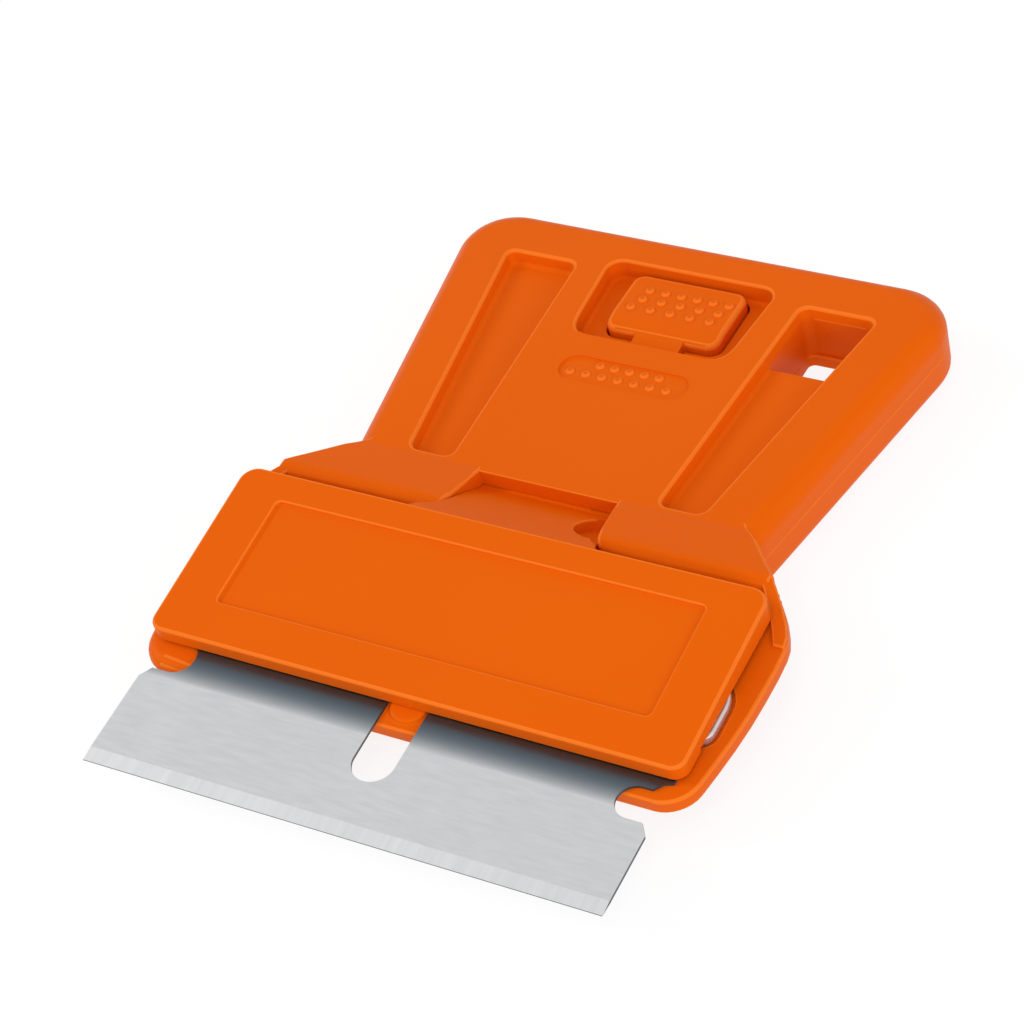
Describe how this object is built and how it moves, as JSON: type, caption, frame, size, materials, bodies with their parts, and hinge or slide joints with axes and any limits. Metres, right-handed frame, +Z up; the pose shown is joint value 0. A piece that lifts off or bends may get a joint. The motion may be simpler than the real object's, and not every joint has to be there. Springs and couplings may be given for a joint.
{
  "type": "razor blade scraper",
  "caption": "Small moulded hand scraper with a flat grip, a thumb button and a rocking upper jaw that clamps a single-edge razor blade.",
  "frame": {"origin": "middle of the bounding box, on the plane of the flat underside", "axes": "+X across the blade to the right, +Y from the cutting edge to the back of the handle, +Z up"},
  "size_m": [0.0438, 0.057, 0.0073],
  "materials": {
    "shell_plastic": "satin moulded orange",
    "clamp_plastic": "satin moulded orange",
    "blade_steel": "satin rolled steel with a ground edge",
    "spine_steel": "folded strip steel"
  },
  "bodies": {
    "handle": {"lower_shell": "shell_plastic", "upper_shell": "shell_plastic", "razor_blade": "blade_steel", "blade_spine": "spine_steel"},
    "clamp": {"blade_clamp": "clamp_plastic"},
    "button": {"release_button": "clamp_plastic"}
  },
  "joints": [
    {"name": "clamp_rock", "type": "hinge", "parent": "handle", "child": "clamp", "pos_m": [0, 0.0001, 0.0031], "axis": [-1, 0, 0], "range_deg": [0, 3], "stiffness_Nm_per_rad": 1},
    {"name": "button_press", "type": "hinge", "parent": "clamp", "child": "button", "pos_m": [0, 0.0168, 0.0029], "axis": [-1, 0, 0], "range_deg": [0, 3], "stiffness_Nm_per_rad": 0.1}
  ]
}
